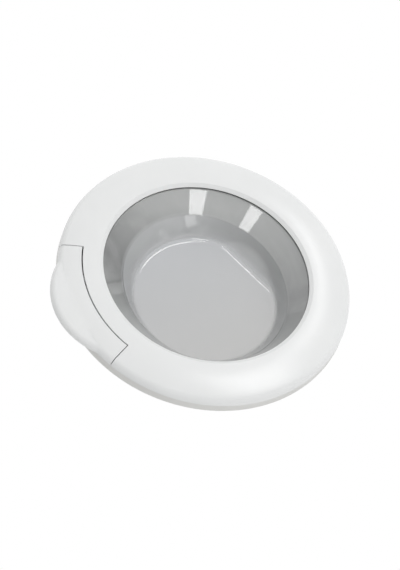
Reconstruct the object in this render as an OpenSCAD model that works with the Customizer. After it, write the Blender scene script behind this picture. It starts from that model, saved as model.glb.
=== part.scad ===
// Door of a front-loading washing machine.
// Plan view: X to the right, Y up, and heights are measured from the cabinet's front panel
// towards the user. The module mounted() stands this plan upright, with +Z up, the front
// towards -Y, and the origin on the cabinet panel, midway between the two hinge bolts.

/* [Ring] */
// Outer radius of the front frame
outer_r = 223.5; // [215:0.5:240]
// Width of the ring between its outer edge and the opening that shows the glass
ring_w = 66; // [62:0.5:72]
// Height of the opening's edge below the crown
lip_drop = 4; // [3:0.5:5]
// Width of the sloping lip round the opening
lip_w = 5.5; // [4:0.5:8]
// Width of the flat crown next to the lip
crown_w = 7; // [5:0.5:12]
// How far the gently curved face drops between the crown and the outer shoulder
face_drop = 4.84; // [3.5:0.02:5.5]
// Radius of the outer shoulder
shoulder_r = 11; // [9:0.5:13]
// Height of the upright edge between the parting line and that shoulder
edge_h = 0.16; // [0:0.02:0.5]
// Height of the rear frame's rim, up to the parting line between front and rear frame
rim_h = 15; // [14:0.5:16]
// Gap between the cabinet panel and the back of the door
rear_h = 8; // [6:0.5:9]
// Wall of the moulded frames and of the handle
skin = 2.5; // [2:0.1:3]
// How far the rear frame's rim is set back at the parting line
rim_step = 1.2; // [0.6:0.1:2]
// How much the rear frame's rim flares towards the cabinet
rim_flare = 2; // [0:0.1:3]
// Radius of the rear frame's outer edge
rear_edge_r = 3; // [1:0.5:4]
// Height of the tongue that centres the frames on each other
tongue = 3; // [2:0.5:4]

/* [Glass] */
// Thickness of the glass
glass_t = 5; // [4:0.5:6]
// Width of the clamped glass flange
flange_w = 10.5; // [8:0.5:12]
// How far the visible glass reaches inside the opening's edge
glass_inset = 1; // [0.5:0.5:3]
// Thickness of the seal in front of the glass
seal_front = 2.8; // [2:0.1:3.5]
// Thickness of the seal behind the glass and round its edge
seal_t = 2; // [1.5:0.1:2.5]
// How far the seal is set back behind the opening's edge
seal_inset = 1; // [0.5:0.1:2]
// Thickness of the opening's visible edge
lip_edge = 1.2; // [0.8:0.1:2]
// Distance from the opening's edge to the bend between the glass cone and the bowl
cone_w = 32; // [28:0.1:38]
// Height of that bend
bend_h = 8; // [4:0.5:12]
// How far the bend's middle lies to the right of the axis
bend_right = -1; // [-4:0.5:4]
// How far the bend's middle lies below the axis
bend_below = 9.5; // [4:0.5:10]
// How much taller than wide the bend's oval is, on each side
bend_long = 8; // [0:0.5:10]
// How much smaller than the bend's radius the bowl's floor is
wall_w = 16; // [12:0.1:26]
// Depth of the bowl's floor behind the cabinet panel
floor_depth = 30; // [25:1:45]
// How far the floor's middle lies to the right of the axis
floor_right = 5.5; // [0:0.5:12]
// How far the floor's middle lies below the axis
floor_below = 11.5; // [4:0.5:16]
// Radius of the corner round the floor
floor_fillet = 8; // [5:0.5:12]
// Direction that the flat facet faces
facet_dir = 21; // [0:1:40]
// How far the facet's lower edge cuts into the floor
facet_cut = 15.5; // [8:0.5:20]
// How much the facet leans out for each unit of height
facet_lean = 1.19; // [1:0.01:1.4]

/* [Handle] */
// Half the angle that the handle covers
handle_a = 28; // [25:0.5:31]
// Distance from the opening's edge to the recess for the handle
recess_gap = 30.5; // [29:0.5:33]
// Gap between the handle's ends and the frame
end_gap = 1.4; // [1.2:0.1:2]
// Gap between the handle's inner edge and the frame
inner_gap = 2; // [1.8:0.1:2.6]
// Radius of the grip's outline
grip_r = 112; // [100:1:125]
// How far the grip stands out from the ring
grip_reach = 19; // [14:0.5:24]
// Height of the grip's edge below the crown
grip_drop = 6.2; // [5.5:0.1:7]
// Radius of the edge round the grip
grip_edge_r = 9; // [7:0.5:9.5]
// Slope of the grip's top
grip_slope = 5; // [2:0.5:8]
// Radius of the rod that the handle turns on
rod_r = 2; // [1.6:0.1:2.5]
// Distance of that rod inside the recess
rod_inset = 8; // [7:0.5:10]
// Height of that rod above the parting line
rod_up = 5; // [4.5:0.1:5.5]
// Wall round the rod
eye_wall = 2; // [1.5:0.1:2.2]
// Distance from the middle to the ears that hold the rod
ear_y = 30; // [26:1:31]
// Width of those ears
ear_w = 6; // [4:0.5:7]
// Width of the handle's lugs
lug_w = 8; // [5:0.5:9]

/* [Latch] */
// Distance of the hook's pin below the handle's rod
hook_down = 10.5; // [10.2:0.1:10.8]
// Radius of the hook's pin
hook_pin_r = 2; // [1.6:0.1:2.2]
// Width of the hook
hook_w = 8; // [6:0.5:9]
// Depth of the hook's catching face behind the cabinet panel
catch_depth = 18; // [12:0.5:24]
// How far the catch reaches sideways
catch_reach = 11; // [7:0.5:13]
// Thickness of the hook's short arm
hook_arm_t = 3; // [2.5:0.1:3.4]
// Thickness of the hook's head
catch_t = 9; // [6:0.5:12]
// Thickness of the latch bracket's base
bracket_t = 2; // [1.5:0.1:2.5]
// Thickness of the steel plate round the hook
guide_t = 1.2; // [0.8:0.1:1.6]
// Radius of the spring wire
wire_r = 0.5; // [0.4:0.05:0.6]

/* [Hinge] */
// Distance of the hinge pin inside the ring's outer edge
pin_inset = 13.5; // [13:0.5:16]
// How far the hinge pin lies behind the parting line
pin_drop = 1; // [0.5:0.1:1.5]
// Radius of the hinge pin
pin_r = 3; // [2.5:0.1:3.2]
// Distance from the pin to the middle of the hinge's neck
neck = 24; // [23:0.5:27]
// Thickness of the neck
neck_t = 5; // [4:0.5:6]
// Width of each hinge arm
arm_w = 8; // [6:0.5:9]
// Distance from the middle to the hinge arms
arm_y = 23.3; // [20:0.1:24]
// Thickness of the hinge's mounting plate
base_t = 3; // [2:0.5:4]
// Width of the mounting plate
base_w = 22; // [18:1:24]
// Distance between the two mounting holes
bolt_gap = 90; // [80:1:110]
// Radius of the mounting holes
bolt_r = 2.75; // [2.2:0.05:3.3]
// Thickness of the hinge leaf
leaf_t = 2.2; // [1.8:0.1:2.6]
// Half the height of the hinge leaf
leaf_y = 40; // [38:0.5:42]
// Wall of the bushes on the hinge pin
bush_wall = 1.45; // [1:0.05:1.6]

/* [Screws] */
// Number of places for frame screws, counted all the way round
screw_places = 12; // [12]
// Distance of the frame screws inside the ring's outer edge
screw_inset = 27.5; // [25:0.5:30]
// Radius of a frame screw's shank
screw_r = 1.95; // [1.5:0.05:2.2]
// Radius of a small screw's shank
small_screw_r = 1.6; // [1.2:0.05:1.8]

/* [Hidden] */

// Clearances
run_gap = 0.05;
fixed_gap = 0.02;
side_gap = 0.4;
fit_gap = 0.3;
spring_gap = 0.9;
// Overlength of a cut beyond the surface it leaves through
over = 1;
// Height and radius that lie outside the whole door
far = 400;
tall = 60;
round_fn = 180;
small_fn = 48;

// Ring
part_h = rear_h + rim_h;
crown_h = part_h + edge_h + shoulder_r + face_drop;
open_r = outer_r - ring_w;
open_h = crown_h - lip_drop;
lip_h = crown_h - 0.4;
crown_r = open_r + lip_w + crown_w;
face_w = outer_r - shoulder_r - crown_r;
slope_a = 2 * atan(face_drop / face_w);
face_r = face_w / sin(slope_a) + shoulder_r;
face_c = [crown_r, crown_h - face_r];
shoulder_c = [outer_r - shoulder_r, part_h + edge_h];
rim_top_r = outer_r - rim_step;
rim_r = rim_top_r + rim_flare;
tongue_r = outer_r - skin - fit_gap;
tongue_h = part_h + tongue;
tongue_top_r = shoulder_c[0] + sqrt(pow(shoulder_r - skin - fit_gap, 2) - pow(max(0, tongue_h - shoulder_c[1]), 2));
floor_h = rear_h + skin;

// Glass and seal, from the front to the back
clamp_h = open_h - lip_edge;
flange_h = clamp_h - seal_front;
flange_back_h = flange_h - glass_t;
shelf_h = flange_back_h - seal_t;
glass_r = open_r - glass_inset;
flange_r = open_r + flange_w;
seal_in_r = open_r + seal_inset;
seal_out_r = flange_r + fit_gap + seal_t;
shelf_r = seal_out_r + 2;
bowl_sides = 72;
bend_r = open_r - cone_w;
floor_r = bend_r - wall_w;
facet_in = floor_r - facet_cut;
cone_a = atan2(glass_r - bend_r, flange_h - bend_h);
wall_a = atan2(bend_r - floor_r, bend_h + floor_depth);

// Handle
recess_r = open_r + recess_gap;
rod_h = part_h + rod_up;
recess_low = rod_h + rod_up;
handle_in_r = recess_r + inner_gap;
handle_low = part_h + side_gap;
grip_c = outer_r + grip_reach - grip_r;
grip_h = crown_h - grip_drop;

rod_x = -(recess_r - rod_inset);
rod_bore = rod_r + run_gap;
eye_r = rod_r + eye_wall;
hub_w = 10;
nub_r = 2;
clip_t = 0.8;
clip_w = 1.3;
clip_seat = 0.4;
lug_y = ear_y + ear_w + side_gap;
rod_end = lug_y + lug_w + side_gap + clip_t + clip_w;

// Latch
hook_x = -recess_r;
hook_h = rod_h - hook_down;
mesh_h = (rod_h + hook_h) / 2;
hook_face_x = hook_x + 2;
hub_r = hook_pin_r + 2;
bracket_top = floor_h + bracket_t;
slot_x = hook_x - hub_r - 1.5;
slot_w = 2 * hub_r + 3;
slot_y = hook_w / 2 + 1;
hook_ear_w = 3;
hook_ear_y = hook_w / 2 + 1;
spring_room = 8;
latch_screw_x = hook_x + 4;
latch_screw_ys = [18, 50];
bracket_y = latch_screw_ys[1] + 8;
guide_half = [13, 24];
coil_r = rod_r + 1.3;
hook_coil_r = hook_pin_r + 1.3;

// Hinge
pin_x = outer_r - pin_inset;
pin_h = part_h - pin_drop;
neck_x = pin_x - neck;
hinge_x = neck_x + 1;
hinge_eye_r = pin_r + 2.5;
bush_r = pin_r + run_gap + bush_wall;
barrel_r = bush_r + 1.5;
flange_t = 1;
barrel_y = arm_y - side_gap - flange_t;
arm_half = 3;
leaf_top = pin_h + barrel_r + 0.5;
leaf_low = leaf_top - leaf_t;
leaf_x = neck_x - 8;
leaf_end_gap = 7;
leaf_end_x = pin_x - leaf_end_gap;
web_w = 10;
web_x = pin_x - web_w;
leaf_grip = 4;
pocket_wall = 2;
pocket_x = leaf_x - 2;
pocket_y = leaf_y + 4;
relief_h = pin_h - arm_half - 4;
leaf_screws_at = [[neck_x - 2, leaf_y - 4], [neck_x + 6, 14]];
head_t = 2.3;
head_r = 3.4;

// Frame screws
screw_at_r = outer_r - screw_inset;
screw_head_r = 4;
screw_head_t = 2.4;
cup_r = 6.5;
cup_depth = 6;
cup_h = rear_h + cup_depth;
seat_depth = 4;
seat_h = rear_h + seat_depth;
boss_r = 4.5;
boss_depth = 20;
boss_top = rear_h + boss_depth;
bore_end = 2;
cross_w = 0.8;
first_screw = 1;
last_screw = 4;

// Geometry helpers
function arc(c, r, a0, a1, n) =
    [for (i = [0:n]) let (a = a0 + (a1 - a0) * i / n) [c[0] + r * cos(a), c[1] + r * sin(a)]];
function tail(list) = [for (i = [1:len(list) - 1]) list[i]];
function flip(list) = [for (i = [len(list) - 1:-1:0]) list[i]];

// The ring's outer surface from the crown to the parting line, set in by d
function top_line(d) = concat(
    arc(face_c, face_r - d, 90, 90 - slope_a, 6),
    tail(arc(shoulder_c, shoulder_r - d, 90 - slope_a, 0, 10)));

module mounted() {
    translate([-hinge_x, 0, 0]) rotate([90, 0, 0]) children();
}

// A profile of x and height, extruded along Y
module along_y(y0, y1) {
    translate([0, y1, 0]) rotate([90, 0, 0]) linear_extrude(y1 - y0) children();
}

module rod_y(x, h, r, y0, y1) {
    along_y(y0, y1) translate([x, h]) circle(r, $fn = small_fn);
}

module block(x0, x1, y0, y1, h0, h1) {
    translate([x0, y0, h0]) cube([x1 - x0, y1 - y0, h1 - h0]);
}

// The handle's sector, narrowed by d on both sides
module wedge(d) {
    tip = -d / sin(handle_a);
    polygon([[tip, 0],
             [tip - far * cos(handle_a), far * sin(handle_a)],
             [tip - far * cos(handle_a), -far * sin(handle_a)]]);
}

// Everything under the ring's outer surface, set in by d
module ring_core(d) {
    rotate_extrude($fn = round_fn)
        polygon(concat([[crown_r, 0]], top_line(d), [[outer_r - d, 0]]));
}

// Everything under the grip's outer surface, set in by d
module grip_core(d) {
    edge_c = [grip_r - grip_edge_r, grip_h - grip_edge_r];
    slope_end = [edge_c[0] + grip_edge_r * sin(grip_slope), edge_c[1] + grip_edge_r * cos(grip_slope)];
    translate([-grip_c, 0, 0])
        rotate_extrude($fn = round_fn)
            polygon(concat(
                [[0, 0], [0, slope_end[1] + slope_end[0] * tan(grip_slope) - d / cos(grip_slope)]],
                arc(edge_c, grip_edge_r - d, 90 - grip_slope, 0, 8),
                [[grip_r - d, 0]]));
}

module at_frame_screws() {
    for (side = [0, 1]) mirror([0, side, 0])
        for (i = [first_screw:last_screw])
            rotate([0, 0, i * 360 / screw_places]) translate([screw_at_r, 0, 0]) children();
}

module pan_screw(r, length, cap_r, cap_t) {
    cylinder(r = r, h = length, $fn = small_fn);
    translate([0, 0, -cap_t]) difference() {
        union() {
            translate([0, 0, cap_t / 2]) cylinder(r = cap_r, h = cap_t / 2, $fn = small_fn);
            cylinder(r1 = cap_r - cap_t / 2, r2 = cap_r, h = cap_t / 2, $fn = small_fn);
        }
        for (a = [0, 90]) rotate([0, 0, a])
            translate([-cap_r / 2, -cross_w / 2, -over]) cube([cap_r, cross_w, over + cap_t / 2]);
    }
}

// A snap ring round a shaft of radius r, opened towards +X
module snap_ring(r, y) {
    along_y(y, y + clip_t) difference() {
        circle(r + clip_w, $fn = small_fn);
        circle(r - clip_seat + run_gap, $fn = small_fn);
        translate([0, -r * 0.5]) square([far, r]);
    }
}

// The white outer ring, with the recess for the handle and the bosses for the frame screws
module front_frame() {
    clamp_r = shelf_r + 0.5;
    inner = [for (p = flip(top_line(skin))) if (p[0] > clamp_r + 2) p];
    mounted() color([0.93, 0.94, 0.94]) {
        difference() {
            union() {
                rotate_extrude($fn = round_fn) polygon(concat(
                    [[open_r, clamp_h], [open_r, open_h], [open_r + lip_w, lip_h]],
                    top_line(0),
                    [[outer_r, part_h], [outer_r - skin, part_h]],
                    inner,
                    [[clamp_r, clamp_h]]));
                intersection() {
                    ring_core(skin / 2);
                    at_frame_screws() translate([0, 0, cup_h + side_gap / 4])
                        cylinder(r = boss_r, h = tall, $fn = small_fn);
                }
                recess_walls();
            }
            translate([0, 0, -over]) linear_extrude(tall) difference() {
                wedge(-end_gap / 2);
                circle(recess_r, $fn = round_fn);
            }
            at_frame_screws() cylinder(r = screw_r + run_gap, h = boss_top, $fn = small_fn);
        }
    }
}

// The upright walls round the handle's recess
module recess_walls() {
    intersection() {
        ring_core(0);
        union() {
            translate([0, 0, recess_low]) linear_extrude(tall) difference() {
                intersection() {
                    circle(recess_r + over, $fn = round_fn);
                    wedge(-end_gap / 2 - skin);
                }
                circle(recess_r - skin, $fn = round_fn);
            }
            translate([0, 0, part_h]) linear_extrude(tall) difference() {
                wedge(-end_gap / 2 - skin);
                wedge(-end_gap / 2 + over);
                circle(recess_r, $fn = round_fn);
            }
        }
    }
}

// The rear ring, with the shelf for the glass, the hinge pocket and the screw cups
module rear_frame() {
    edge_c = [rim_r - rear_edge_r, rear_h + rear_edge_r];
    wall_r = open_r + skin;
    mounted() color([0.80, 0.80, 0.78]) difference() {
        union() {
            rotate_extrude($fn = round_fn) polygon(concat(
                arc(edge_c, rear_edge_r, -90, 0, 5),
                [[rim_top_r, part_h], [tongue_r, part_h], [tongue_top_r, tongue_h],
                 [tongue_top_r - skin * 0.7, tongue_h], [tongue_r - skin * 0.7, part_h],
                 [rim_r - skin, floor_h], [wall_r, floor_h],
                 [wall_r, shelf_h - skin], [shelf_r, shelf_h - skin], [shelf_r, shelf_h],
                 [open_r, shelf_h], [open_r, rear_h]]));
            at_frame_screws() translate([0, 0, rear_h]) cylinder(r = cup_r, h = cup_h - rear_h, $fn = small_fn);
            intersection() {
                ring_core(skin + side_gap);
                union() {
                    block(pocket_x - pocket_wall, far, -pocket_y - pocket_wall, pocket_y + pocket_wall,
                          rear_h, leaf_top + pocket_wall);
                    at_leaf_screws() cylinder(r = boss_r, h = tall, $fn = small_fn);
                }
            }
        }
        at_frame_screws() {
            cylinder(r = screw_head_r + 0.6, h = seat_h, $fn = small_fn);
            cylinder(r = screw_r + fit_gap, h = tall, $fn = small_fn);
        }
        intersection() {
            ring_core(skin + side_gap + pocket_wall);
            block(pocket_x, far, -pocket_y, pocket_y, -over, leaf_top);
        }
        intersection() {
            ring_core(skin);
            block(pocket_x, far, -pocket_y, pocket_y, -over, relief_h);
        }
        at_leaf_screws() cylinder(r = small_screw_r + run_gap, h = leaf_t + leaf_grip + over, $fn = small_fn);
        hook_slot(0, part_h);
        at_latch_screws() translate([0, 0, -over])
            cylinder(r = small_screw_r + fit_gap, h = part_h, $fn = small_fn);
        translate([0, 0, part_h]) linear_extrude(tall) difference() {
            wedge(-end_gap / 2 - skin - side_gap);
            circle(recess_r, $fn = round_fn);
        }
    }
}

module at_leaf_screws() {
    for (p = leaf_screws_at, s = [-1, 1]) translate([p[0], s * p[1], leaf_low]) children();
}

module at_latch_screws() {
    for (y = latch_screw_ys, s = [-1, 1]) translate([latch_screw_x, s * y, 0]) children();
}

module hook_slot(h0, h1) {
    block(slot_x, slot_x + slot_w, -slot_y, slot_y, h0, h1);
}

// The bowl's section from its floor up to the bend, set back by t: each entry is a height,
// a radius and the share of the floor's offset
function bowl_line(t) =
    let (
        fillet = floor_fillet + t,
        reach = floor_fillet * tan((90 - wall_a) / 2),
        c = [floor_r - reach, floor_fillet - floor_depth],
        corner = flip(arc(c, fillet, -wall_a, -90, 5)),
        half_a = (cone_a + wall_a) / 2,
        spread = t / cos((cone_a - wall_a) / 2),
        bend = [bend_r + spread * cos(half_a), bend_h - spread * sin(half_a)]
    )
    concat([for (p = corner) [p[1], p[0], floor_share(p[1] + t)]], [[bend[1], bend[0], 0]]);
function floor_share(h) = max(0, min(1, (bend_h - h) / (bend_h + floor_depth)));

function glass_rings() =
    let (cone_back_r = glass_r + glass_t / cos(cone_a) - (flange_h - flange_back_h) * tan(cone_a))
    concat(bowl_line(0),
           [[flange_h, glass_r, undef], [flange_h, flange_r, undef], [flange_back_h, flange_r, undef],
            [flange_back_h, cone_back_r, undef]],
           flip(bowl_line(glass_t)));

// One ring of the bowl: a circle at the flange, and from the bend to the floor an oval that
// is set off from the axis and cut straight along the facet
function bowl_ring(h, r, share, out) =
    let (
        round = is_undef(share),
        bend = round ? 0 : 1 - share,
        floor = round ? 0 : share,
        middle = [bend * bend_right + floor * floor_right, -bend * bend_below - floor * floor_below],
        limit = facet_in + (h + floor_depth) * facet_lean + out * (1 / cos(atan(facet_lean)) + facet_lean) / 2
    )
    [for (i = [0:bowl_sides - 1])
        let (a = 360 * i / bowl_sides,
             x = middle[0] + r * cos(a),
             y = middle[1] + (r + bend * bend_long) * sin(a),
             past = max(0, x * cos(facet_dir) + y * sin(facet_dir) - limit))
        [x - past * cos(facet_dir), y - past * sin(facet_dir), h]];

// The deep glass bowl, one pressed piece
module glass_bowl() {
    rings = glass_rings();
    inner = len(bowl_line(0));
    outlines = [for (k = [0:len(rings) - 1])
        bowl_ring(rings[k][0], rings[k][1], rings[k][2], k < inner ? 0 : glass_t)];
    mounted() color([0.72, 0.76, 0.78, 0.6]) skinned(outlines, bowl_sides);
}

// A closed solid through a list of rings, with flat ends
module skinned(rings, sides) {
    last = len(rings) - 1;
    points = [for (ring = rings, p = ring) p];
    walls = [for (k = [0:last - 1], i = [0:sides - 1])
        let (a = k * sides + i, b = k * sides + (i + 1) % sides)
        for (face = [[a, b, b + sides], [a, b + sides, a + sides]]) face];
    start = [for (i = [sides - 1:-1:0]) i];
    finish = [for (i = [0:sides - 1]) last * sides + i];
    polyhedron(points, concat([start], walls, [finish]), convexity = 6);
}

// The dark rubber seal round the glass flange
module glass_seal() {
    mounted() color([0.10, 0.10, 0.11]) rotate_extrude($fn = round_fn)
        polygon([[seal_in_r, clamp_h], [seal_out_r, clamp_h], [seal_out_r, shelf_h], [seal_in_r, shelf_h],
                 [seal_in_r, flange_back_h], [flange_r + fit_gap, flange_back_h],
                 [flange_r + fit_gap, flange_h], [seal_in_r, flange_h]]);
}

module frame_screws() {
    mounted() color("silver") at_frame_screws() translate([0, 0, seat_h])
        pan_screw(screw_r, boss_top - seat_h - bore_end, screw_head_r, screw_head_t);
}

// The handle's outer form, set in by d and open below
module handle_form(d) {
    intersection() {
        translate([0, 0, handle_low - (d > 0 ? over : 0)]) linear_extrude(tall) difference() {
            wedge(end_gap / 2 + d);
            circle(handle_in_r + d, $fn = round_fn);
        }
        union() {
            ring_core(d);
            grip_core(d);
        }
    }
}

// The rocking handle: a hollow grip with two lugs, a hub and the finger that moves the hook
module handle() {
    nub = [hook_face_x + fit_gap + nub_r, mesh_h];
    mounted() color([0.93, 0.94, 0.94]) difference() {
        union() {
            difference() {
                handle_form(0);
                handle_form(skin);
            }
            handle_arm(-hub_w / 2, hub_w / 2);
            handle_arm(lug_y, lug_y + lug_w);
            handle_arm(-lug_y - lug_w, -lug_y);
            rod_y(nub[0], nub[1], nub_r, -hook_w / 2, hook_w / 2);
            along_y(-hook_w / 2, hook_w / 2)
                polygon([[nub[0] - nub_r, nub[1]], [nub[0] + nub_r, nub[1]],
                         [rod_x + eye_r * 0.7, rod_h - rod_r], [rod_x - eye_r, rod_h - rod_r]]);
        }
        rod_y(rod_x, rod_h, rod_bore, -rod_end, rod_end);
    }
}

// An arm from the handle's inner wall to an eye on the rod
module handle_arm(y0, y1) {
    reach = handle_in_r + skin / 2;
    middle = (y0 + y1) / 2;
    rod_y(rod_x, rod_h, eye_r, y0, y1);
    block(-sqrt(reach * reach - middle * middle), rod_x, y0, y1, rod_h - arm_half, rod_h + arm_half);
}

module groove(x, h, r, y) {
    along_y(y - run_gap, y + clip_t + run_gap) translate([x, h]) difference() {
        circle(r + over, $fn = small_fn);
        circle(r - clip_seat, $fn = small_fn);
    }
}

module handle_rod() {
    mounted() color("silver") difference() {
        rod_y(rod_x, rod_h, rod_r, -rod_end, rod_end);
        groove(rod_x, rod_h, rod_r, lug_y + lug_w + side_gap);
        groove(rod_x, rod_h, rod_r, -lug_y - lug_w - side_gap - clip_t);
    }
}

module rod_clips() {
    mounted() color("dimgray") translate([rod_x, 0, rod_h]) {
        snap_ring(rod_r, lug_y + lug_w + side_gap);
        snap_ring(rod_r, -lug_y - lug_w - side_gap - clip_t);
    }
}

// A round wire along a path that winds about the Y direction
module wire(path, r) {
    sides = 8;
    last = len(path) - 1;
    rings = [for (k = [0:last])
        let (t = path[min(k + 1, last)] - path[max(k - 1, 0)],
             d = t / norm(t),
             across = cross(d, [0, 1, 0]),
             n = across / norm(across),
             m = cross(d, n))
        [for (i = [0:sides - 1]) path[k] + r * cos(360 * i / sides) * n + r * sin(360 * i / sides) * m]];
    skinned(rings, sides);
}

// Turns of a coil about (x, h) from y0 to y1, starting at the angle a0
function coil(x, h, r, y0, y1, a0, turns) =
    let (n = round(16 * turns))
    [for (i = [0:n]) let (a = a0 + 360 * turns * i / n)
        [x + r * cos(a), y0 + (y1 - y0) * i / n, h + r * sin(a)]];

// The torsion spring that closes the handle
module handle_spring() {
    y0 = hub_w / 2 + 1;
    y1 = y0 + 7;
    mounted() color("silver") wire(concat(
        [[rod_x + coil_r, y0, bracket_top + fit_gap], [rod_x + coil_r, y0, rod_h - 3]],
        coil(rod_x, rod_h, coil_r, y0, y1, 0, 4.25),
        [[-(handle_in_r - spring_gap - wire_r), y1, rod_h + coil_r]]), wire_r);
}

// The carrier for the handle's rod and the hook
module latch_bracket() {
    base_x0 = latch_screw_x - guide_half[0];
    base_x1 = latch_screw_x + guide_half[0];
    mounted() color([0.55, 0.56, 0.57]) difference() {
        union() {
            block(base_x0, base_x1, -bracket_y, bracket_y, floor_h, bracket_top);
            for (s = [0, 1]) mirror([0, s, 0]) along_y(ear_y, ear_y + ear_w) {
                translate([rod_x, rod_h]) circle(eye_r, $fn = small_fn);
                polygon([[rod_x - eye_r - 3, bracket_top - over], [rod_x + eye_r + 3, bracket_top - over],
                         [rod_x + eye_r, rod_h], [rod_x - eye_r, rod_h]]);
            }
            hook_ears() {
                translate([hook_x, hook_h]) circle(hub_r - 0.5, $fn = small_fn);
                translate([hook_x - hub_r, bracket_top - over])
                    square([2 * hub_r, hook_h - bracket_top + over]);
            }
        }
        hook_slot(0, tall);
        block(slot_x, slot_x + slot_w, 0, hook_ear_y + spring_room, 0, tall);
        rod_y(rod_x, rod_h, rod_r + fixed_gap, -far, far);
        rod_y(hook_x, hook_h, hook_pin_r + fixed_gap, -lug_y, lug_y);
        at_latch_screws() cylinder(r = small_screw_r + run_gap, h = part_h, $fn = small_fn);
    }
}

module hook_ears() {
    along_y(-hook_ear_y - hook_ear_w, -hook_ear_y) children();
    along_y(hook_ear_y + spring_room, hook_ear_y + spring_room + hook_ear_w) children();
}

// The steel plate on the door's back, round the hook
module hook_guide() {
    mounted() color("silver") translate([0, 0, rear_h - guide_t]) difference() {
        block(latch_screw_x - guide_half[0], latch_screw_x + guide_half[0], -guide_half[1], guide_half[1], 0, guide_t);
        translate([0, 0, -over]) hook_slot(0, tall);
        translate([0, 0, -over]) at_latch_screws() cylinder(r = small_screw_r + fit_gap, h = tall, $fn = small_fn);
    }
}

module latch_screws() {
    mounted() color("silver") for (s = [-1, 1]) {
        translate([latch_screw_x, s * latch_screw_ys[0], rear_h - guide_t])
            pan_screw(small_screw_r, bracket_top - rear_h + guide_t + over, head_r, head_t);
        translate([latch_screw_x, s * latch_screw_ys[1], rear_h])
            pan_screw(small_screw_r, bracket_top - rear_h + over, head_r, head_t);
    }
}

// The latch hook, which reaches through the back of the door
module hook() {
    stem_x0 = hook_x - 4;
    stem_x1 = hook_x + 2.5;
    tip = stem_x0 - catch_reach;
    end_h = -catch_depth - catch_t;
    mounted() color([0.62, 0.63, 0.64]) difference() {
        along_y(-hook_w / 2, hook_w / 2) {
            translate([hook_x, hook_h]) circle(hub_r, $fn = small_fn);
            polygon([[hook_face_x - hook_arm_t, hook_h], [hook_face_x, hook_h],
                     [hook_face_x, mesh_h + 1], [hook_face_x - 0.5, mesh_h + 1.5],
                     [hook_face_x - hook_arm_t + 0.5, mesh_h + 1.5], [hook_face_x - hook_arm_t, mesh_h + 1]]);
            polygon([[stem_x1, hook_h], [stem_x0, hook_h], [stem_x0, -catch_depth + 2],
                     [stem_x0 - 2, -catch_depth], [tip, -catch_depth], [tip, -catch_depth - 2.5],
                     [stem_x0, end_h], [stem_x1 - 3, end_h], [stem_x1, end_h + 4]]);
        }
        rod_y(hook_x, hook_h, hook_pin_r + run_gap, -hook_w, hook_w);
    }
}

hook_pin_y0 = -hook_ear_y - hook_ear_w - side_gap;
hook_clip_y = hook_ear_y + spring_room + hook_ear_w + side_gap;

module hook_pin() {
    mounted() color("silver") difference() {
        union() {
            rod_y(hook_x, hook_h, hook_pin_r, hook_pin_y0, hook_clip_y + clip_t + clip_w);
            rod_y(hook_x, hook_h, hook_pin_r + 1.5, hook_pin_y0 - 1.5, hook_pin_y0);
        }
        groove(hook_x, hook_h, hook_pin_r, hook_clip_y);
    }
}

module hook_pin_clip() {
    mounted() color("dimgray") translate([hook_x, 0, hook_h]) snap_ring(hook_pin_r, hook_clip_y);
}

// The torsion spring that pushes the hook outwards
module hook_spring() {
    y0 = hook_w / 2 + 1.6;
    y1 = y0 + 6;
    leg_x = hook_face_x - hook_arm_t - spring_gap - wire_r;
    mounted() color("silver") wire(concat(
        [[leg_x, -hook_w / 4, mesh_h - 0.6], [leg_x, y0 - 0.6, mesh_h - 1]],
        coil(hook_x, hook_h, hook_coil_r, y0, y1, 180, 4),
        [[hook_x - hook_coil_r, y1, floor_h + fit_gap]]), wire_r);
}

// The fixed half of the hinge: a plate for the cabinet and two necked arms
module hinge_base() {
    mounted() color([0.72, 0.73, 0.74]) difference() {
        union() {
            translate([hinge_x, 0, 0]) linear_extrude(base_t) {
                square([base_w, bolt_gap], center = true);
                for (s = [-1, 1]) translate([0, s * bolt_gap / 2]) circle(base_w / 2, $fn = small_fn);
            }
            for (s = [0, 1]) mirror([0, s, 0]) along_y(arm_y, arm_y + arm_w) arm_profile();
        }
        for (s = [-1, 1]) translate([hinge_x, s * bolt_gap / 2, -over])
            cylinder(r = bolt_r, h = base_t + 2 * over, $fn = small_fn);
        rod_y(pin_x, pin_h, pin_r + fixed_gap, -far, far);
    }
}

module arm_profile() {
    left = neck_x - neck_t / 2;
    right = neck_x + neck_t / 2;
    top = pin_h + arm_half;
    translate([pin_x, pin_h]) circle(hinge_eye_r, $fn = small_fn);
    polygon(concat(
        [[pin_x, pin_h - arm_half], [pin_x, top]],
        arc([left + 5, top - 5], 5, 90, 180, 5),
        [[left, base_t / 2], [right + 6, base_t / 2], [right + 6, base_t], [right, base_t + 6]],
        arc([right + 2, pin_h - arm_half - 2], 2, 180, 90, 3)));
}

pin_low_y = -arm_y - arm_w - side_gap - clip_t;

module hinge_pin() {
    mounted() color("silver") difference() {
        union() {
            rod_y(pin_x, pin_h, pin_r, pin_low_y - clip_w, arm_y + arm_w + 0.2);
            rod_y(pin_x, pin_h, pin_r + 1.5, arm_y + arm_w + 0.2, arm_y + arm_w + 2.7);
        }
        groove(pin_x, pin_h, pin_r, pin_low_y);
    }
}

module hinge_clip() {
    mounted() color("dimgray") translate([pin_x, 0, pin_h]) mirror([1, 0, 0]) snap_ring(pin_r, pin_low_y);
}

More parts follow.
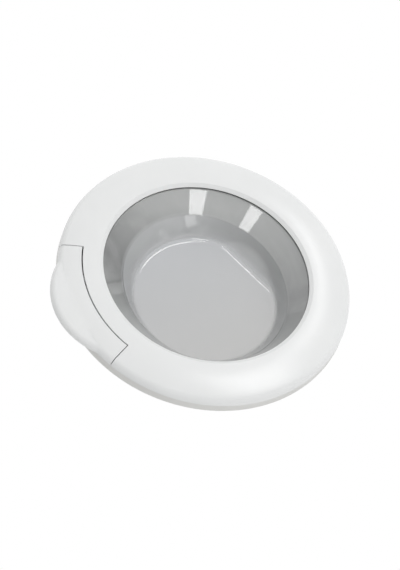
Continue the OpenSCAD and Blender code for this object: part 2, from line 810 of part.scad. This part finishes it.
// The moving half of the hinge, inside the door's pocket
module hinge_leaf() {
    mounted() color([0.72, 0.73, 0.74]) difference() {
        union() {
            block(leaf_x, leaf_end_x, -leaf_y, leaf_y, leaf_low, leaf_top);
            along_y(-barrel_y, barrel_y) {
                translate([pin_x, pin_h]) circle(barrel_r, $fn = small_fn);
                polygon([[web_x, leaf_low], [web_x, leaf_top], [pin_x - 5, leaf_top],
                         [pin_x, pin_h + barrel_r], [pin_x, pin_h], [pin_x - barrel_r, pin_h]]);
            }
        }
        rod_y(pin_x, pin_h, bush_r + fixed_gap, -far, far);
        at_leaf_screws() translate([0, 0, -over])
            cylinder(r = small_screw_r + fit_gap, h = leaf_t + 2 * over, $fn = small_fn);
    }
}

module leaf_screws() {
    mounted() color("silver") at_leaf_screws() pan_screw(small_screw_r, leaf_t + leaf_grip, head_r, head_t);
}

// A flanged bush at the barrel's upper end
module bush() {
    length = 14;
    difference() {
        union() {
            rod_y(pin_x, pin_h, bush_r, barrel_y - length, barrel_y + flange_t / 2);
            rod_y(pin_x, pin_h, barrel_r - 0.3, barrel_y, barrel_y + flange_t);
        }
        rod_y(pin_x, pin_h, pin_r + run_gap, 0, far);
    }
}

module hinge_bush_upper() {
    mounted() color("ivory") bush();
}

module hinge_bush_lower() {
    mounted() color("ivory") mirror([0, 1, 0]) bush();
}

front_frame();
rear_frame();
glass_bowl();
glass_seal();
frame_screws();
handle();
handle_rod();
rod_clips();
handle_spring();
latch_bracket();
latch_screws();
hook_guide();
hook();
hook_pin();
hook_pin_clip();
hook_spring();
hinge_base();
hinge_pin();
hinge_clip();
hinge_leaf();
leaf_screws();
hinge_bush_upper();
hinge_bush_lower();
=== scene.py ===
"""Looks of a front-loading washing machine's door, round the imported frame."""
import math

import bpy
from mathutils import Matrix, Vector

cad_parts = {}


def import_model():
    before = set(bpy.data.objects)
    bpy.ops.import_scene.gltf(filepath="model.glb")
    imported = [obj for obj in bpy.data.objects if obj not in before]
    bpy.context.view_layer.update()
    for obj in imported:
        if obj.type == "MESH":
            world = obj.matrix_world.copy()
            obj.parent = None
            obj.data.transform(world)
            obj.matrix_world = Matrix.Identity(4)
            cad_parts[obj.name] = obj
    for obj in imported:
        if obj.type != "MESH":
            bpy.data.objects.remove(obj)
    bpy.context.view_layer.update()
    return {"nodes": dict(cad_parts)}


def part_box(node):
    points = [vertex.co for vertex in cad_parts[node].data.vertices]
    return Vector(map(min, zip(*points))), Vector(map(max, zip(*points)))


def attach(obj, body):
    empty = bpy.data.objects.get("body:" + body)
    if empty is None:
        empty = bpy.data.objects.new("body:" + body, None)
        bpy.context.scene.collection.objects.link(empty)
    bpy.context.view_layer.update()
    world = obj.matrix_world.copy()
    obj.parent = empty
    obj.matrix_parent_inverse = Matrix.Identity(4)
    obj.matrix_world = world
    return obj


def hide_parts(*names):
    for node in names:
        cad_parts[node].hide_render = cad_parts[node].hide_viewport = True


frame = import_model()

MM = 0.001

# The door's middle in the frame, from the seal, which is a whole ring round it
DOOR_X = (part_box("glass_seal")[0].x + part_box("glass_seal")[1].x) / 2

# The glass bowl, as in the part: heights are in front of the cabinet panel
GLASS_T = 5 * MM
GLASS_R = 156.5 * MM
FLANGE_R = 168 * MM
FLANGE_H = 31 * MM
BEND_R = 125.5 * MM
BEND_H = 8 * MM
BEND_ROUND = 3.5 * MM
BEND_LONG = 8 * MM
BEND_MIDDLE = (-1 * MM, -9.5 * MM)
FLOOR_R = 109.5 * MM
FLOOR_DEPTH = 30 * MM
FLOOR_MIDDLE = (5.5 * MM, -11.5 * MM)
FLOOR_FILLET = 8 * MM
FACET_DIR = math.radians(21)
FACET_IN = 94 * MM
FACET_LEAN = 1.19
FACET_SOFT = 5 * MM
FACET_ROUND = 12 * MM
RIM_ROUND = 0.8 * MM
BOWL_SIDES = 288
ROUND_STEPS = 14
WALL_STEPS = 14
FLOOR_STEPS = 8

CONE_A = math.atan2(GLASS_R - BEND_R, FLANGE_H - BEND_H)
WALL_A = math.atan2(BEND_R - FLOOR_R, BEND_H + FLOOR_DEPTH)
FLOOR_SHARE = GLASS_T / (FLANGE_H + FLOOR_DEPTH + GLASS_T)
BEND_SHARE = (BEND_H + FLOOR_DEPTH + GLASS_T) / (FLANGE_H + FLOOR_DEPTH + GLASS_T)

# Towards the bowl's lower left, at a length that makes the bend there about 1, for the mask of the painted
# dark line along the bend
LOWER_LEFT = (-5.1, 0, -6.2)

# Where the floor's satin starts to fade and where it ends, above its front face, as shares of the height
SATIN_FADE = (0.0005, 0.002)

# The camera, fitted to the photograph's frame of 400 by 570 pixels
CAMERA_AT = Vector((DOOR_X - 0.7923, -1.6473, -0.9192))
CAMERA_RIGHT = Vector((0.8950, -0.2075, -0.3950))
CAMERA_UP = Vector((0.2253, -0.5542, 0.8014))
CAMERA_LENS = 85.32
SENSOR = 36

# Shading of the CAD nodes: points closer than MERGE are one, and edges past SHARP_EDGE stay sharp
MERGE = 0.002 * MM
SHARP_EDGE = math.radians(28)

# The ambient light, and the share of it from the far left, from midway between and from the far right
AMBIENT = 1.41
SKY_LEVELS = (0.05, 1, 0.6)

# The floor under the door, in metres
STAGE_HALF = 8
STAGE_Z = -1.4


# Curves and meshes

def arc(centre, radius, start, end, steps):
    """Points of (radius, height) on an arc, both ends included."""
    angles = [start + (end - start) * i / steps for i in range(steps + 1)]
    return [(centre[0] + radius * math.cos(a), centre[1] + radius * math.sin(a)) for a in angles]


def rounded(before, corner, after, radius, steps=4):
    """The arc of that radius that rounds a corner of a section."""
    p, a, b = Vector(corner), Vector(before), Vector(after)
    u, v = (a - p).normalized(), (b - p).normalized()
    half = u.angle(v) / 2
    reach = min(radius / math.tan(half), 0.45 * (a - p).length, 0.45 * (b - p).length)
    start, end = p + u * reach, p + v * reach
    points = []
    for i in range(steps + 1):
        t = i / steps
        points.append(tuple((1 - t) ** 2 * start + 2 * t * (1 - t) * p + t * t * end))
    return points


def between(start, end, steps):
    """Points on a straight stretch, without its two ends."""
    return [tuple(Vector(start).lerp(Vector(end), i / steps)) for i in range(1, steps)]


def bend_back(back):
    """The bend's radius and height, set back by a distance."""
    half = (CONE_A + WALL_A) / 2
    spread = back / math.cos((CONE_A - WALL_A) / 2)
    return BEND_R + spread * math.cos(half), BEND_H - spread * math.sin(half)


def shares(height, back):
    """How much a ring of the bowl follows the bend's middle and the floor's middle."""
    low_part = max(0, min(1, (BEND_H - height - back) / (BEND_H + FLOOR_DEPTH)))
    top, low = FLANGE_H - back, bend_back(back)[1]
    cone = max(0, min(1, (top - height) / (top - low)))
    return cone * (1 - low_part), low_part


def bowl_side(back):
    """The bowl's section from the floor's middle to the flange, set back by a distance."""
    reach = FLOOR_FILLET * math.tan((math.pi / 2 - WALL_A) / 2)
    centre = (FLOOR_R - reach, FLOOR_FILLET - FLOOR_DEPTH)
    corner = arc(centre, FLOOR_FILLET + back, -math.pi / 2, -WALL_A, ROUND_STEPS)
    bend = bend_back(back)
    if back:
        rim = (GLASS_R + back / math.cos(CONE_A) - back * math.tan(CONE_A), FLANGE_H - back)
    else:
        rim = (GLASS_R, FLANGE_H)
    turn = rounded(corner[-1], bend, rim, BEND_ROUND - back, ROUND_STEPS // 2)
    wall = between(corner[-1], turn[0], WALL_STEPS)
    cone = between(turn[-1], rim, WALL_STEPS)
    return corner + wall + turn + cone, rim


def facet_place(height, back):
    """How far out the facet lies at a height, with its foot rounded into the floor."""
    start = FACET_IN + back * (1 / math.cos(math.atan(FACET_LEAN)) - FACET_LEAN) / 2
    rise = max(0, height + FLOOR_DEPTH + back)
    radius = FACET_ROUND + back
    turn = math.atan(1 / FACET_LEAN)
    reach = radius * math.tan(turn / 2)
    if rise < reach * math.sin(turn):
        return start - reach + math.sqrt(2 * radius * rise - rise * rise)
    return start + rise * FACET_LEAN


def bowl_point(radius, height, angle, back):
    """A point of the bowl in the frame: an offset oval, cut nearly straight along the facet."""
    bend, low_part = shares(height, back)
    x = bend * BEND_MIDDLE[0] + low_part * FLOOR_MIDDLE[0] + radius * math.cos(angle)
    z = bend * BEND_MIDDLE[1] + low_part * FLOOR_MIDDLE[1]
    z += (radius + bend * BEND_LONG) * math.sin(angle)
    past = x * math.cos(FACET_DIR) + z * math.sin(FACET_DIR) - facet_place(height, back)
    if past < -FACET_SOFT:
        past = 0
    elif past < FACET_SOFT:
        past = (past + FACET_SOFT) ** 2 / (4 * FACET_SOFT)
    return (DOOR_X + x - past * math.cos(FACET_DIR), -height, z - past * math.sin(FACET_DIR))


def new_piece(name, points, faces, material, body):
    """A smooth mesh in the frame that rides on a body."""
    mesh = bpy.data.meshes.new(name)
    mesh.from_pydata(points, [], faces)
    mesh.validate()
    mesh.shade_smooth()
    piece = bpy.data.objects.new(name, mesh)
    bpy.context.scene.collection.objects.link(piece)
    mesh.materials.append(material)
    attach(piece, body)
    return piece


def floor_rings(middle, edge):
    """Rings of a flat floor, from near its middle to just inside its edge."""
    outward = [i / FLOOR_STEPS for i in range(1, FLOOR_STEPS)]
    return [[tuple(Vector(middle).lerp(Vector(point), share)) for point in edge] for share in outward]


def glass_bowl(material):
    """The pressed glass bowl, as one smooth closed mesh."""
    inner, rim = bowl_side(0)
    outer, rim_back = bowl_side(GLASS_T)
    edge = [rim, (FLANGE_R, FLANGE_H), (FLANGE_R, FLANGE_H - GLASS_T), rim_back]
    turned = rounded(inner[-1], edge[0], edge[1], RIM_ROUND)
    turned += rounded(edge[0], edge[1], edge[2], RIM_ROUND)
    turned += rounded(edge[1], edge[2], edge[3], RIM_ROUND)
    turned += [rim_back]
    section = [(r, h, 0) for r, h in inner]
    section += [(r, h, 0 if h > FLANGE_H - GLASS_T / 2 else GLASS_T) for r, h in turned]
    section += [(r, h, GLASS_T) for r, h in reversed(outer)]
    turns = [2 * math.pi * i / BOWL_SIDES for i in range(BOWL_SIDES)]
    rings = [[bowl_point(r, h, angle, back) for angle in turns] for r, h, back in section]
    front = bowl_point(0, -FLOOR_DEPTH, 0, 0)
    behind = bowl_point(0, -FLOOR_DEPTH - GLASS_T, 0, GLASS_T)
    rings = floor_rings(front, rings[0]) + rings + floor_rings(behind, rings[-1])[::-1]
    points = [front] + [point for ring in rings for point in ring] + [behind]
    last = len(points) - 1
    faces = []
    for i in range(BOWL_SIDES):
        j = (i + 1) % BOWL_SIDES
        faces.append((0, 1 + i, 1 + j))
        for k in range(len(rings) - 1):
            low, high = 1 + k * BOWL_SIDES, 1 + (k + 1) * BOWL_SIDES
            faces.append((low + i, high + i, high + j, low + j))
        faces.append((last, last - BOWL_SIDES + j, last - BOWL_SIDES + i))
    piece = new_piece("pressed_bowl", points, faces, material, "door")
    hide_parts("glass_bowl")
    return piece


def smoothing():
    """Geometry nodes that shade a turned surface smoothly and keep its real edges sharp."""
    group = bpy.data.node_groups.new("smooth_turned_faces", "GeometryNodeTree")
    group.interface.new_socket("Geometry", in_out="INPUT", socket_type="NodeSocketGeometry")
    group.interface.new_socket("Geometry", in_out="OUTPUT", socket_type="NodeSocketGeometry")
    nodes, links = group.nodes, group.links
    start = nodes.new("NodeGroupInput")
    merge = nodes.new("GeometryNodeMergeByDistance")
    merge.inputs["Distance"].default_value = MERGE
    strip = nodes.new("GeometryNodeRemoveAttribute")
    strip.inputs["Name"].default_value = "custom_normal"
    faces = nodes.new("GeometryNodeSetShadeSmooth")
    faces.domain = "FACE"
    edges = nodes.new("GeometryNodeSetShadeSmooth")
    edges.domain = "EDGE"
    angle = nodes.new("GeometryNodeInputMeshEdgeAngle")
    soft = nodes.new("ShaderNodeMath")
    soft.operation = "LESS_THAN"
    soft.inputs[1].default_value = SHARP_EDGE
    end = nodes.new("NodeGroupOutput")
    links.new(start.outputs[0], merge.inputs["Geometry"])
    links.new(merge.outputs["Geometry"], strip.inputs["Geometry"])
    links.new(strip.outputs["Geometry"], faces.inputs["Geometry"])
    links.new(faces.outputs["Geometry"], edges.inputs["Geometry"])
    links.new(angle.outputs["Unsigned Angle"], soft.inputs[0])
    links.new(soft.outputs["Value"], edges.inputs["Shade Smooth"])
    links.new(edges.outputs["Geometry"], end.inputs[0])
    return group


# Materials

class Surface:
    """A material with one Principled shader, and short ways to give it detail."""

    def __init__(self, name, roughness, **sockets):
        self.material = bpy.data.materials.new(name)
        self.material.use_nodes = True
        self.nodes = self.material.node_tree.nodes
        self.links = self.material.node_tree.links
        self.shader = self.nodes["Principled BSDF"]
        self.place = self.nodes.new("ShaderNodeTexCoord").outputs["Object"]
        self.shader.inputs["Roughness"].default_value = roughness
        for socket, value in sockets.items():
            self.shader.inputs[socket.replace("_", " ")].default_value = value

    def along(self, line):
        """How far a point lies along a line from the door's middle, times the line's length."""
        moved = self.nodes.new("ShaderNodeVectorMath")
        moved.inputs[1].default_value = (-DOOR_X, 0, 0)
        dot = self.nodes.new("ShaderNodeVectorMath")
        dot.operation = "DOT_PRODUCT"
        dot.inputs[1].default_value = line
        self.links.new(self.place, moved.inputs[0])
        self.links.new(moved.outputs["Vector"], dot.inputs[0])
        return dot.outputs["Value"]

    def calculate(self, operation, *values):
        """The result of a sum on numbers or other nodes' values."""
        node = self.nodes.new("ShaderNodeMath")
        node.operation = operation
        for socket, value in zip(node.inputs, values):
            if isinstance(value, bpy.types.NodeSocket):
                self.links.new(value, socket)
            else:
                socket.default_value = value
        return node.outputs["Value"]

    def spread(self, value, start, end):
        """A value passed from one range into another, and held at its ends."""
        spread = self.nodes.new("ShaderNodeMapRange")
        spread.inputs["From Min"].default_value, spread.inputs["From Max"].default_value = start
        spread.inputs["To Min"].default_value, spread.inputs["To Max"].default_value = end
        self.links.new(value, spread.inputs["Value"])
        return spread.outputs["Result"]

    def noise(self, scale, detail=2, stretch=(1, 1, 1), twist=0):
        """Noise of a number of waves a metre, stretched along the axes."""
        moved = self.nodes.new("ShaderNodeMapping")
        moved.inputs["Scale"].default_value = stretch
        wave = self.nodes.new("ShaderNodeTexNoise")
        wave.inputs["Scale"].default_value = scale
        wave.inputs["Detail"].default_value = detail
        wave.inputs["Distortion"].default_value = twist
        self.links.new(self.place, moved.inputs["Vector"])
        self.links.new(moved.outputs["Vector"], wave.inputs["Vector"])
        return wave.outputs["Fac"]

    def ramp(self, value, stops):
        """A colour ramp of (place, colour) stops."""
        ramp = self.nodes.new("ShaderNodeValToRGB")
        elements = ramp.color_ramp.elements
        while len(elements) < len(stops):
            elements.new(0.5)
        for element, (at, colour) in zip(elements, stops):
            element.position = at
            element.color = (*colour, 1)
        self.links.new(value, ramp.inputs["Fac"])
        return ramp.outputs["Color"]

    def mix(self, share, first, second):
        """The first colour passing into the second by a share."""
        mix = self.nodes.new("ShaderNodeMix")
        mix.data_type = "RGBA"
        colours = [socket for socket in mix.inputs if socket.type == "RGBA"]
        self.links.new(share, mix.inputs["Factor"])
        self.links.new(first, colours[0])
        self.links.new(second, colours[1])
        return [socket for socket in mix.outputs if socket.type == "RGBA"][0]

    def colour(self, value):
        self.links.new(value, self.shader.inputs["Base Color"])

    def roughness(self, value, low, high):
        self.links.new(self.spread(value, (0, 1), (low, high)), self.shader.inputs["Roughness"])

    def bump(self, value, height):
        bump = self.nodes.new("ShaderNodeBump")
        bump.inputs["Distance"].default_value = height
        self.links.new(value, bump.inputs["Height"])
        self.links.new(bump.outputs["Normal"], self.shader.inputs["Normal"])


def white_plastic():
    """The ring and handle: glossy white plastic with a very fine grain."""
    skin = Surface("white_gloss_plastic", 0.22, IOR=1.5)
    skin.colour(skin.ramp(skin.noise(9), [(0.3, (0.790, 0.800, 0.798)), (0.7, (0.815, 0.822, 0.820))]))
    skin.roughness(skin.noise(60, 4), 0.20, 0.27)
    skin.bump(skin.noise(900, 2), 0.006 * MM)
    return skin.material


def grey_plastic():
    """The rear ring: satin grey-beige plastic."""
    skin = Surface("grey_satin_plastic", 0.45, IOR=1.5)
    skin.colour(skin.ramp(skin.noise(14), [(0.3, (0.665, 0.665, 0.645)), (0.7, (0.700, 0.700, 0.680))]))
    skin.roughness(skin.noise(80, 4), 0.40, 0.52)
    skin.bump(skin.noise(1400, 3), 0.02 * MM)
    return skin.material


def bowl_glass():
    """Smoke-grey pressed glass, clearer in its floor, with tints tuned to the photograph's tones: the
    wall's and cone's tints by height and side, and a dark line along the bend, are painted shade and
    painted reflection.

    The floor is satin on both faces, since a glossy one mirrors a lamp as grain from the front left.
    """
    glass = Surface("smoke_grey_glass", 0.03, IOR=1.5)
    tall = glass.spread(glass.along((0, -1, 0)), (-FLOOR_DEPTH - GLASS_T, FLANGE_H), (0, 1))
    rise = glass.spread(glass.along((0, 0, 1)), (-FLANGE_R, FLANGE_R), (0, 1))
    flat = glass.ramp(rise, [(0.2, (0.570, 0.570, 0.565)), (0.75, (0.545, 0.555, 0.570))])
    side = glass.spread(glass.along((1, 0, 0)), (-BEND_R, BEND_R), (0, 1))
    # Painted shade and painted reflection: the wall's tint is darker on its left and lower down, and
    # lighter on its right and at its top.
    low, high = (0.15, (0.42, 0.43, 0.43)), (0.85, (0.63, 0.64, 0.645))
    wall = glass.mix(
        side,
        glass.ramp(rise, [low, (0.5, (0.41, 0.42, 0.425)), high]),
        glass.ramp(rise, [low, (0.5, (0.51, 0.52, 0.52)), high]),
    )
    # Painted shade and painted reflection: the cone's tint is darkest in a band across its middle, more so
    # on its left, and lighter towards its lower left and upper right.
    slant = glass.spread(glass.along((0.5, 0, 0.87)), (-FLANGE_R, FLANGE_R), (0, 1))
    low, high = (0.1, (0.45, 0.46, 0.455)), (0.9, (0.52, 0.53, 0.525))
    cone = glass.mix(
        side,
        glass.ramp(slant, [low, (0.5, (0.205, 0.21, 0.21)), high]),
        glass.ramp(slant, [low, (0.5, (0.335, 0.34, 0.34)), high]),
    )
    smears = glass.ramp(glass.noise(14, 6, (1, 1, 0.7), 1.6), [(0.45, (0, 0, 0)), (0.75, (0.25,) * 3)])
    cone = glass.mix(smears, cone, glass.ramp(rise, [(0, (0.58,) * 3), (1, (0.64,) * 3)]))
    body = glass.mix(glass.spread(tall, (BEND_SHARE - 0.04, BEND_SHARE + 0.04), (0, 1)), wall, cone)
    # A painted dark line along the bend's lower left stands in for the bend's dark reflection.
    body = glass.mix(painted_bend_dark_line(glass, tall), body, glass.ramp(rise, [(0, (0.06,) * 3), (1, (0.08,) * 3)]))
    glass.colour(glass.mix(glass.spread(tall, (0.05, 0.22), (0, 1)), flat, body))
    clear = glass.ramp(tall, [(0.05, (0.9,) * 3), (0.22, (0.45,) * 3), (0.8, (0.12,) * 3)])
    glass.links.new(clear, glass.shader.inputs["Transmission Weight"])
    smudges = glass.spread(glass.noise(25, 3), (0, 1), (0, 0.15))
    fade = tuple(FLOOR_SHARE + past for past in SATIN_FADE)
    satin = glass.spread(tall, fade, (0.85, 0))
    glass.roughness(glass.calculate("ADD", smudges, satin), 0.02, 0.26)
    return glass.material


def painted_bend_dark_line(glass, tall):
    """A share that is 1 on a thin line along the bend, on its lower left side: the mask of a painted dark
    reflection.
    """
    near = glass.along(LOWER_LEFT)
    width = glass.spread(near, (0.5, 1), (0.02, 0.04))
    low = glass.calculate("SUBTRACT", BEND_SHARE, width)
    above = glass.calculate("GREATER_THAN", tall, low)
    below = glass.calculate("LESS_THAN", tall, BEND_SHARE)
    line = glass.calculate("MULTIPLY", above, below)
    return glass.calculate("MULTIPLY", line, glass.spread(near, (0.1, 0.5), (0, 1)))


def seal_rubber():
    """The seal: matt black rubber."""
    rubber = Surface("black_seal_rubber", 0.6, Specular_IOR_Level=0.2)
    tones = [(0.3, (0.018, 0.018, 0.020)), (0.7, (0.035, 0.035, 0.037))]
    rubber.colour(rubber.ramp(rubber.noise(30), tones))
    rubber.roughness(rubber.noise(300, 3), 0.5, 0.75)
    rubber.bump(rubber.noise(2500, 2), 0.02 * MM)
    return rubber.material


def steel(name, light, roughness):
    """Zinc-plated or drawn steel, with fine lines along its length."""
    metal = Surface(name, roughness, Metallic=1)
    dark = tuple(0.82 * c for c in light)
    metal.colour(metal.ramp(metal.noise(120, 4), [(0.35, dark), (0.65, light)]))
    metal.roughness(metal.noise(900, 3, (1, 1, 0.05)), roughness * 0.8, roughness * 1.3)
    metal.bump(metal.noise(3000, 2, (1, 1, 0.05)), 0.004 * MM)
    return metal.material


def cast_zinc():
    """The hook and hinge: dull cast zinc."""
    metal = Surface("cast_zinc", 0.42, Metallic=1)
    metal.colour(metal.ramp(metal.noise(70, 4), [(0.35, (0.42, 0.43, 0.44)), (0.65, (0.56, 0.57, 0.58))]))
    metal.roughness(metal.noise(220, 4), 0.34, 0.55)
    metal.bump(metal.noise(1100, 4), 0.03 * MM)
    return metal.material


def moulded(name, colour, roughness):
    """Plain moulded plastic of a colour."""
    plastic = Surface(name, roughness)
    light = tuple(1.12 * c for c in colour)
    plastic.colour(plastic.ramp(plastic.noise(40, 3), [(0.3, colour), (0.7, light)]))
    plastic.roughness(plastic.noise(400, 3), roughness * 0.85, roughness * 1.2)
    plastic.bump(plastic.noise(1800, 3), 0.02 * MM)
    return plastic.material


# The floor, the lights and the camera

def world():
    """White to the camera and in reflections, and a plain soft light on the object."""
    sky = bpy.data.worlds.new("studio")
    bpy.context.scene.world = sky
    sky.use_nodes = True
    nodes, links = sky.node_tree.nodes, sky.node_tree.links
    nodes.clear()
    path = nodes.new("ShaderNodeLightPath")
    seen = nodes.new("ShaderNodeMath")
    seen.operation = "MAXIMUM"
    either = nodes.new("ShaderNodeMath")
    either.operation = "MAXIMUM"
    links.new(path.outputs["Is Camera Ray"], seen.inputs[0])
    links.new(path.outputs["Is Glossy Ray"], seen.inputs[1])
    links.new(seen.outputs[0], either.inputs[0])
    links.new(path.outputs["Is Transmission Ray"], either.inputs[1])
    soft, white = nodes.new("ShaderNodeBackground"), nodes.new("ShaderNodeBackground")
    side = nodes.new("ShaderNodeSeparateXYZ")
    share = nodes.new("ShaderNodeMapRange")
    share.inputs["From Min"].default_value = -1
    level = nodes.new("ShaderNodeValToRGB")
    level.color_ramp.elements.new(0.5)
    for element, grey in zip(level.color_ramp.elements, SKY_LEVELS):
        element.color = (grey, grey, grey, 1)
    links.new(nodes.new("ShaderNodeTexCoord").outputs["Generated"], side.inputs[0])
    links.new(side.outputs["X"], share.inputs["Value"])
    links.new(share.outputs["Result"], level.inputs["Fac"])
    links.new(level.outputs["Color"], soft.inputs["Color"])
    soft.inputs["Strength"].default_value = AMBIENT
    white.inputs["Color"].default_value = (1, 1, 1, 1)
    white.inputs["Strength"].default_value = 1
    mix = nodes.new("ShaderNodeMixShader")
    out = nodes.new("ShaderNodeOutputWorld")
    links.new(either.outputs[0], mix.inputs[0])
    links.new(soft.outputs[0], mix.inputs[1])
    links.new(white.outputs[0], mix.inputs[2])
    links.new(mix.outputs[0], out.inputs["Surface"])


def floor():
    """A plain pale floor below the door."""
    mesh = bpy.data.meshes.new("floor")
    s = STAGE_HALF
    corners = [(-s, -s), (s, -s), (s, s), (-s, s)]
    mesh.from_pydata([(x, y, STAGE_Z) for x, y in corners], [], [(0, 1, 2, 3)])
    plane = bpy.data.objects.new("floor", mesh)
    bpy.context.scene.collection.objects.link(plane)
    pale = Surface("pale_floor", 0.8)
    pale.colour(pale.ramp(pale.noise(1.5), [(0.3, (0.86, 0.86, 0.86)), (0.7, (0.89, 0.89, 0.89))]))
    mesh.materials.append(pale.material)


def softbox(name, centre, along, length, width, radiance, diffuse=False):
    """A lamp at a place relative to the door's middle, which it faces, with its length along a line."""
    lamp = bpy.data.lights.new(name, "AREA")
    lamp.shape = "RECTANGLE"
    lamp.size, lamp.size_y = length, width
    lamp.energy = radiance * math.pi * length * width
    box = bpy.data.objects.new(name, lamp)
    out = Vector(centre).normalized()
    across = out.cross(Vector(along)).normalized()
    turn = Matrix((across.cross(out), across, out)).transposed()
    box.matrix_world = Matrix.Translation(Vector((DOOR_X, 0, 0)) + Vector(centre)) @ turn.to_4x4()
    box.visible_camera = False
    box.visible_transmission = False
    box.visible_diffuse = diffuse
    box.visible_glossy = not diffuse
    bpy.context.scene.collection.objects.link(box)
    return box


def light_only(boxes, piece, state):
    """Let lamps light one piece alone, or everything but that piece."""
    lit = bpy.data.collections.new("lit_" + state.lower())
    lit.objects.link(piece)
    lit.collection_objects[0].light_linking.link_state = state
    for box in boxes:
        box.light_linking.receiver_collection = lit


def camera():
    """The photograph's view."""
    view = bpy.data.cameras.new("photo_view")
    view.sensor_width = SENSOR
    view.lens = CAMERA_LENS
    seat = bpy.data.objects.new("photo_view", view)
    back = CAMERA_RIGHT.cross(CAMERA_UP)
    turn = Matrix((CAMERA_RIGHT, CAMERA_UP, back)).transposed()
    seat.matrix_world = Matrix.Translation(CAMERA_AT) @ turn.to_4x4()
    bpy.context.scene.collection.objects.link(seat)
    bpy.context.scene.camera = seat


camera()
world()
floor()
softbox("key", (0.7, -1.6, 0.1), (0, 0, 1), 1.6, 1.6, 0.17, True)
ring_boxes = [
    softbox("box_right", (0.885, -1.175, 0.53), (0.16, 0.19, 0.5), 0.56, 0.24, 4),
    softbox("box_low", (0.57, -1.38, 0.0), (1, 0.35, 0.1), 0.42, 0.50, 5),
]
glass_boxes = [
    softbox("box_patch", (0.735, -1.20, 0.685), (0.36, 0, -0.93), 0.10, 0.055, 1.3),
    softbox("box_arc", (0.74, -1.16, -0.14), (0.60, 0.38, 0.35), 1.0, 0.42, 8),
    softbox("box_a", (0.097, -1.259, -0.698), (-0.96, -0.22, 0.16), 0.26, 0.22, 9),
    softbox("box_b", (-0.593, -1.318, -0.158), (-0.45, 0.13, 0.88), 0.19, 0.24, 9),
    softbox("box_spot", (-0.12, -0.64, -1.23), (1, 0, 0), 0.5, 0.3, 6),
    softbox("box_below", (0.04, -0.26, -1.354), (-1, 0, 0), 0.32, 0.35, 3),
    softbox("box_facet", (-0.17, -1.41, 0.33), (0.36, 0, -0.93), 0.22, 0.28, 10),
]

WHITE = white_plastic()
STEEL = steel("plated_steel", (0.66, 0.66, 0.65), 0.28)
SPRING = steel("spring_steel", (0.50, 0.50, 0.51), 0.22)
ZINC = cast_zinc()
BUSH = moulded("bush_plastic", (0.70, 0.68, 0.62), 0.4)
NODE_MATERIALS = {
    WHITE: ["front_frame", "handle"],
    grey_plastic(): ["rear_frame"],
    seal_rubber(): ["glass_seal"],
    STEEL: [
        "frame_screws", "handle_rod", "latch_screws", "hook_guide", "hook_pin", "hinge_pin", "leaf_screws",
    ],
    SPRING: ["rod_clips", "handle_spring", "hook_pin_clip", "hook_spring", "hinge_clip"],
    ZINC: ["hook", "hinge_base", "hinge_leaf"],
    moulded("bracket_plastic", (0.20, 0.21, 0.22), 0.5): ["latch_bracket"],
    BUSH: ["hinge_bush_upper", "hinge_bush_lower"],
}
smooth = smoothing()
for material, names in NODE_MATERIALS.items():
    for name in names:
        node = frame["nodes"][name]
        for slot in node.material_slots:
            slot.material = material
        node.modifiers.new("smooth", "NODES").node_group = smooth

bowl = glass_bowl(bowl_glass())
light_only(ring_boxes, bowl, "EXCLUDE")
light_only(glass_boxes, bowl, "INCLUDE")

scene = bpy.context.scene
scene.view_settings.view_transform = "Standard"
